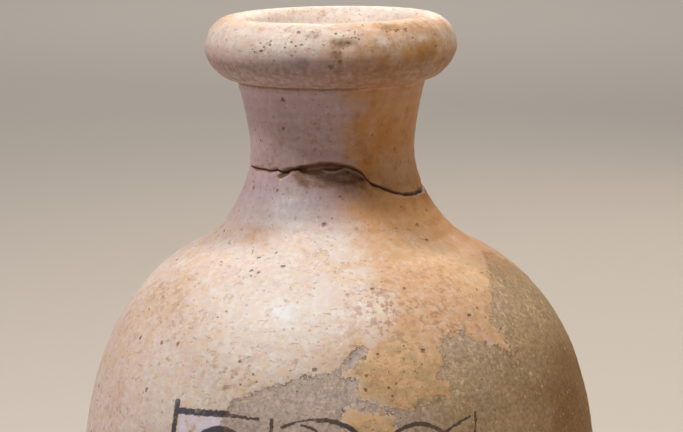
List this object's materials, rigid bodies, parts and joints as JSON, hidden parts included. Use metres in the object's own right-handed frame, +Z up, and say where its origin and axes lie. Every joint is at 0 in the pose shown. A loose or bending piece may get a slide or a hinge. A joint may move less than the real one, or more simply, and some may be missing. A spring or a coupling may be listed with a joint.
{
  "type": "ancient pottery jar",
  "caption": "Egg-shaped pottery jar with a waisted neck, thick rolled rim, mended neck break and a worn cream coat over grey ware; hollow, open at the top, stands on a small flat base.",
  "frame": {"origin": "middle of the flat underside, on the surface the jar stands on", "axes": "+Z up along the jar's height; the side with the painted panel and the flaked joint faces -Y"},
  "size_m": [0.233, 0.233, 0.3607],
  "materials": {
    "coated_clay": "satin, worn cream coat over grey-brown fired clay"
  },
  "bodies": {
    "root": {"jar": "coated_clay"}
  },
  "joints": []
}
